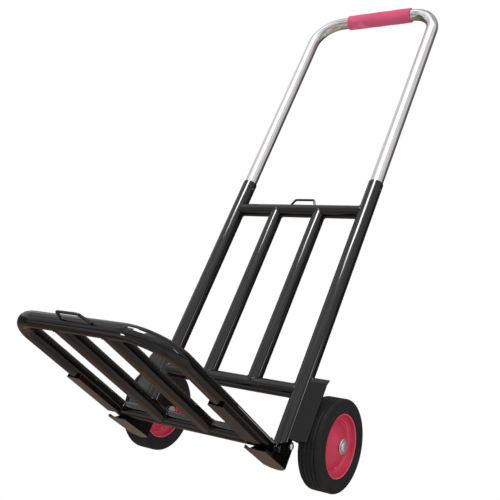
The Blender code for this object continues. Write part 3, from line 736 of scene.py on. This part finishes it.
# elevation (degrees) and colour of the three parts of the room
FRONT_ROOM = (
    (-90, (0.66, 0.46, 0.31)), (-62, (0.66, 0.50, 0.36)), (-52, (0.74, 0.72, 0.72)),
    (-46, (0.76, 0.74, 0.76)), (-44, (0.22, 0.21, 0.21)), (-42, (0.72, 0.70, 0.71)),
    (-24, (0.80, 0.77, 0.79)), (-21, (0.18, 0.17, 0.17)), (-19, (0.76, 0.74, 0.75)),
    (-8, (0.80, 0.77, 0.79)), (-4, (0.12, 0.11, 0.11)), (0, (0.16, 0.15, 0.15)), (2, (0.72, 0.69, 0.72)),
    (9, (0.80, 0.76, 0.80)), (11, (0.45, 0.43, 0.45)), (13, (0.80, 0.76, 0.79)), (28, (0.86, 0.83, 0.85)),
    (34, (1.12, 1.09, 1.11)), (55, 1.22),
)
DIM_ROOM = (
    (-90, (0.66, 0.46, 0.31)), (-62, (0.62, 0.43, 0.29)), (-60, (0.36, 0.25, 0.17)),
    (-57, (0.60, 0.42, 0.28)), (-44, (0.58, 0.40, 0.26)), (-42, (0.30, 0.21, 0.14)),
    (-39, (0.60, 0.44, 0.30)), (-33, (0.50, 0.35, 0.23)), (-29, (0.05, 0.035, 0.025)),
    (-6, (0.015, 0.013, 0.011)), (3, (0.05, 0.048, 0.045)), (12, (0.18, 0.17, 0.16)),
    (28, (0.40, 0.385, 0.37)), (42, (0.55, 0.53, 0.52)), (75, (0.60, 0.59, 0.58)), (88, 0.9),
)
LEFT_ROOM = (
    (-90, (0.66, 0.46, 0.31)), (-63, (0.74, 0.56, 0.42)), (-58, (0.34, 0.24, 0.16)),
    (-50, (0.26, 0.18, 0.11)), (-48, (0.50, 0.37, 0.26)), (-46, (0.24, 0.17, 0.11)),
    (-38, (0.30, 0.22, 0.15)), (-36, (0.10, 0.075, 0.05)), (-33, (0.38, 0.29, 0.21)),
    (-24, (0.22, 0.165, 0.11)), (-10, (0.10, 0.08, 0.065)), (11, (0.08, 0.075, 0.07)), (17, 1.0),
    (24, 1.1), (60, 1.15), (90, 1.3),
)
# turn (degrees) and share of the front part over the left one, and of the dim part over both
FRONT_SHARE = ((-150, 0.0), (-144, 1.0), (30, 1.0), (38, 0.0))
DIM_SHARE = ((30, 0.0), (38, 1.0), (112, 1.0), (140, 0.0))
CLUTTER_COLOUR = (0.10, 0.085, 0.08)
AMBIENT = 0.70               # brightness of the light that the room gives to matt surfaces
# name, place, target, size (m) and power (W) of the lamps on the object
LAMPS = (
    ("key", (-1.4, -2.0, 2.3), (0.0, 0.0, 0.4), 1.4, 42.0),
    ("right_fill", (2.2, -1.7, 0.9), (0.1, 0.0, 0.3), 1.4, 16.0),
)
FLOOR_HALF = 7.0
FLOOR_DROP = 0.0006
FLOOR_SUN = 1.15             # watts for a square metre
FLOOR_SUN_WIDTH = 50.0       # degrees
# the camera's place, its right, its down and its lens for a sensor of this width (mm)
EYE = Vector((0.8044, -0.9398, -0.2815))
EYE_RIGHT = Vector((0.81888, 0.45121, 0.35475))
EYE_DOWN = Vector((0.04645, 0.56394, -0.82451))
EYE_LENS = 57.45
EYE_SENSOR = 36.0


def toward(azimuth, elevation):
    """A direction in the room: azimuth 0 right, -90 in front, 90 behind; elevation from its horizon."""
    a, e = math.radians(azimuth), math.radians(elevation)
    flat = ROOM_RIGHT * math.cos(a) - ROOM_FRONT * math.sin(a)
    return (flat * math.cos(e) + ROOM_UP * math.sin(e)).normalized()


class Room:
    """World nodes that give the colour of the room in every direction."""

    def __init__(self, tree):
        self.nodes, self.links = tree.nodes, tree.links
        self.nodes.clear()
        self.direction = self.nodes.new("ShaderNodeTexCoord").outputs["Generated"]
        up = self.along(ROOM_UP)
        front = self.calculate("MULTIPLY", self.along(ROOM_FRONT), -1.0)
        turn = self.calculate("ARCTAN2", front, self.along(ROOM_RIGHT))
        self.turn = self.ranged(turn, -math.pi, math.pi)
        self.rise = self.ranged(self.calculate("ARCSINE", up), -math.pi / 2, math.pi / 2)

    def along(self, axis):
        made = self.nodes.new("ShaderNodeVectorMath")
        made.operation = "DOT_PRODUCT"
        made.inputs[1].default_value = axis
        self.links.new(self.direction, made.inputs[0])
        return made.outputs["Value"]

    def calculate(self, operation, *values):
        made = self.nodes.new("ShaderNodeMath")
        made.operation = operation
        for socket, value in zip(made.inputs, values):
            if isinstance(value, float):
                socket.default_value = value
            else:
                self.links.new(value, socket)
        return made.outputs["Value"]

    def ranged(self, value, low, high, kind="LINEAR"):
        """The value from low to high as 0 to 1, held at the ends."""
        made = self.nodes.new("ShaderNodeMapRange")
        made.interpolation_type = kind
        made.inputs["From Min"].default_value = low
        made.inputs["From Max"].default_value = high
        self.links.new(value, made.inputs["Value"])
        return made.outputs["Result"]

    def ramp(self, value, stops, low, high):
        """Stops are (degrees, brightness or colour)."""
        made = self.nodes.new("ShaderNodeValToRGB")
        elements = made.color_ramp.elements
        while len(elements) < len(stops):
            elements.new(1.0)
        for element, (degrees, colour) in zip(elements, stops):
            element.position = (degrees - low) / (high - low)
            element.color = (*colour, 1.0) if isinstance(colour, tuple) else (colour, colour, colour, 1.0)
        self.links.new(value, made.inputs["Fac"])
        return made.outputs["Color"]

    def by_height(self, stops):
        return self.ramp(self.rise, stops, -90, 90)

    def by_turn(self, stops):
        return self.ramp(self.turn, stops, -180, 180)

    def clutter(self, across, down):
        """Noise over azimuth and elevation, with so many features round the room and up it."""
        place = self.nodes.new("ShaderNodeCombineXYZ")
        self.links.new(self.calculate("MULTIPLY", self.turn, across), place.inputs["X"])
        self.links.new(self.calculate("MULTIPLY", self.rise, down), place.inputs["Y"])
        made = self.nodes.new("ShaderNodeTexNoise")
        made.inputs["Scale"].default_value = 1.0
        made.inputs["Detail"].default_value = 2.0
        self.links.new(place.outputs["Vector"], made.inputs["Vector"])
        return made.outputs["Fac"]

    def mix(self, share, one, other):
        return mixed(self.nodes, self.links, share, one, other)

    def patch(self, room, azimuth, elevation, half_width, half_height, soft, colour):
        """The room with a soft-edged upright rectangle of one colour laid over it; sizes in degrees."""
        centre = toward(azimuth, elevation)
        side = centre.cross(ROOM_UP).normalized()
        up = side.cross(centre)
        share = self.ranged(self.along(centre), 0.0, 0.1)
        for axis, half in ((side, half_width), (up, half_height)):
            away = self.calculate("ABSOLUTE", self.along(axis))
            inner, outer = math.sin(math.radians(half - soft)), math.sin(math.radians(half + soft))
            edge = self.ranged(away, outer, inner, "SMOOTHSTEP")
            share = self.calculate("MULTIPLY", share, edge)
        return self.mix(share, room, colour)

    def background(self, colour, strength):
        made = self.nodes.new("ShaderNodeBackground")
        if isinstance(colour, tuple):
            made.inputs["Color"].default_value = (*colour, 1.0)
        else:
            self.links.new(colour, made.inputs["Color"])
        made.inputs["Strength"].default_value = strength
        return made.outputs["Background"]

    def pick(self, flag, when_not, when):
        made = self.nodes.new("ShaderNodeMixShader")
        self.links.new(flag, made.inputs["Fac"])
        self.links.new(when_not, made.inputs[1])
        self.links.new(when, made.inputs[2])
        return made.outputs["Shader"]


def make_world():
    """A bright room in front, a dim one behind on the right and a warm floor, seen in reflections."""
    world = bpy.data.worlds.new("studio")
    bpy.context.scene.world = world
    world.use_nodes = True
    room = Room(world.node_tree)
    front, dim, left = (room.by_height(part) for part in (FRONT_ROOM, DIM_ROOM, LEFT_ROOM))
    view = room.mix(room.by_turn(FRONT_SHARE), left, front)
    view = room.mix(room.by_turn(DIM_SHARE), view, dim)
    for across, down, low, high, most in CLUTTER:
        share = room.ranged(room.clutter(across, down), high, low)
        view = room.mix(room.calculate("MULTIPLY", share, most), view, CLUTTER_COLOUR)
    for azimuth, elevation, half_width, half_height, soft, colour in PATCHES:
        view = room.patch(view, azimuth, elevation, half_width, half_height, soft, colour)
    ambient = room.background((0.97, 0.97, 1.0), AMBIENT)
    shown = room.background((1.0, 1.0, 1.0), 1.0)
    path = room.nodes.new("ShaderNodeLightPath")
    lit = room.pick(path.outputs["Is Diffuse Ray"], room.background(view, ROOM_STRENGTH), ambient)
    out = room.nodes.new("ShaderNodeOutputWorld")
    room.links.new(room.pick(path.outputs["Is Camera Ray"], lit, shown), out.inputs["Surface"])


def aimed(obj, place, target):
    obj.matrix_world = Matrix.Translation(place) @ (
        Vector(place) - Vector(target)).to_track_quat("Z", "Y").to_matrix().to_4x4()


def softbox(name, place, target, width, height, power, colour=(1.0, 1.0, 1.0)):
    """A rectangular lamp that lights surfaces and is not seen in their reflections."""
    light = bpy.data.lights.new(name, "AREA")
    light.shape = "RECTANGLE"
    light.size = width
    light.size_y = height
    light.energy = power
    light.color = colour
    obj = bpy.data.objects.new(name, light)
    bpy.context.scene.collection.objects.link(obj)
    aimed(obj, place, target)
    obj.visible_camera = False
    obj.visible_glossy = False
    return obj


def collected(name, objects):
    """A collection of the objects that a lamp lights."""
    made = bpy.data.collections.new(name)
    for obj in objects:
        made.objects.link(obj)
    return made


def painted(name):
    """The enamelled pieces whose names start like this, as a collection."""
    meshes = [obj for obj in bpy.context.scene.objects if obj.type == "MESH" and obj.name.startswith(name)]
    enamelled = [obj for obj in meshes if FINISH["black_paint"] in list(obj.data.materials)]
    return collected(f"painted_{name}", enamelled)


def make_windows():
    """Distant bright openings that show in the enamel's reflections."""
    for number, (azimuth, elevation, *halves, brightness, colour, who) in enumerate(WINDOWS):
        centre = toward(azimuth, elevation)
        place = centre * WINDOW_AWAY
        side = centre.cross(ROOM_UP).normalized()
        width, height = (2 * WINDOW_AWAY * math.tan(math.radians(half)) for half in halves)
        power = brightness * LAMP_SPREAD * width * height
        lamp = softbox(f"window_{number}", place, (0.0, 0.0, 0.0), width, height, power, colour)
        turn = Matrix((-side, side.cross(centre), centre)).transposed().to_4x4()
        lamp.matrix_world = Matrix.Translation(place) @ turn
        lamp.visible_glossy = True
        lamp.visible_diffuse = False
        lamp.light_linking.receiver_collection = painted(who)


def make_floor():
    """A pale floor that shows from above and lets a camera below it look through."""
    corners = ((-1, -1), (1, -1), (1, 1), (-1, 1))
    points = [(x * FLOOR_HALF, y * FLOOR_HALF, -FLOOR_DROP) for x, y in corners]
    floor = mesh_object("floor", points, [(0, 1, 2, 3)])
    made = Shader("floor_paint", (0.82, 0.81, 0.80), 0.9)
    made.feed(made.ramp(made.noise(3, 6), [(0.3, (0.815, 0.812, 0.806)), (0.7, (0.835, 0.832, 0.828))]),
              "Base Color")
    clear = made.nodes.new("ShaderNodeBsdfTransparent")
    mix = made.nodes.new("ShaderNodeMixShader")
    made.links.new(made.nodes.new("ShaderNodeNewGeometry").outputs["Backfacing"], mix.inputs["Fac"])
    made.links.new(made.surface.outputs["BSDF"], mix.inputs[1])
    made.links.new(clear.outputs["BSDF"], mix.inputs[2])
    made.links.new(mix.outputs["Shader"], made.nodes["Material Output"].inputs["Surface"])
    floor.data.materials.append(made.material)
    floor.visible_diffuse = False
    floor.visible_glossy = False
    floor.visible_shadow = False


def make_camera():
    camera = bpy.data.cameras.new("camera")
    camera.lens = EYE_LENS
    camera.sensor_width = EYE_SENSOR
    camera.clip_start = 0.02
    obj = bpy.data.objects.new("camera", camera)
    bpy.context.scene.collection.objects.link(obj)
    back = EYE_RIGHT.cross(-EYE_DOWN)
    turn = Matrix((EYE_RIGHT, -EYE_DOWN, back)).transposed().to_4x4()
    obj.matrix_world = Matrix.Translation(EYE) @ turn
    bpy.context.scene.camera = obj


def make_lights():
    """Two soft lamps on the object and an even light on the floor alone."""
    meshes = [obj for obj in bpy.context.scene.objects if obj.type == "MESH"]
    pieces = collected("lit_pieces", [obj for obj in meshes if obj.name != "floor"])
    for name, place, target, size, power in LAMPS:
        lamp = softbox(name, place, target, size, size, power)
        lamp.light_linking.receiver_collection = pieces
    light = bpy.data.lights.new("floor_light", "SUN")
    light.energy = FLOOR_SUN
    light.angle = math.radians(FLOOR_SUN_WIDTH)
    sun = bpy.data.objects.new("floor_light", light)
    bpy.context.scene.collection.objects.link(sun)
    aimed(sun, (-0.8, -1.0, 3.0), (0.0, 0.0, 0.0))
    sun.visible_glossy = False
    sun.light_linking.receiver_collection = collected("floor_only", [bpy.data.objects["floor"]])


# ---------------------------------------------------------------- assembly

def build():
    make_crossbar("upper_crossbar", UPPER_Z)
    make_crossbar("lower_crossbar", LOWER_Z)
    make_back_hook()
    make_handle()
    make_grip()
    make_fork()
    make_platform_bars()
    make_front_hook()
    for name, side in SIDES:
        make_side_tube(name, side)
        make_back_slat(name, side)
        make_wheel(name, side)
        make_cap_nut(name, side)
        for node, width in EASED:
            refined(f"{name}_{node}", width)
    for node, obj in frame["nodes"].items():
        obj.data.materials.clear()
        obj.data.materials.append(FINISH[NODE_SLOT[node]])


build()
make_world()
make_floor()
make_lights()
make_windows()
make_camera()
bpy.context.scene.view_settings.view_transform = "Standard"
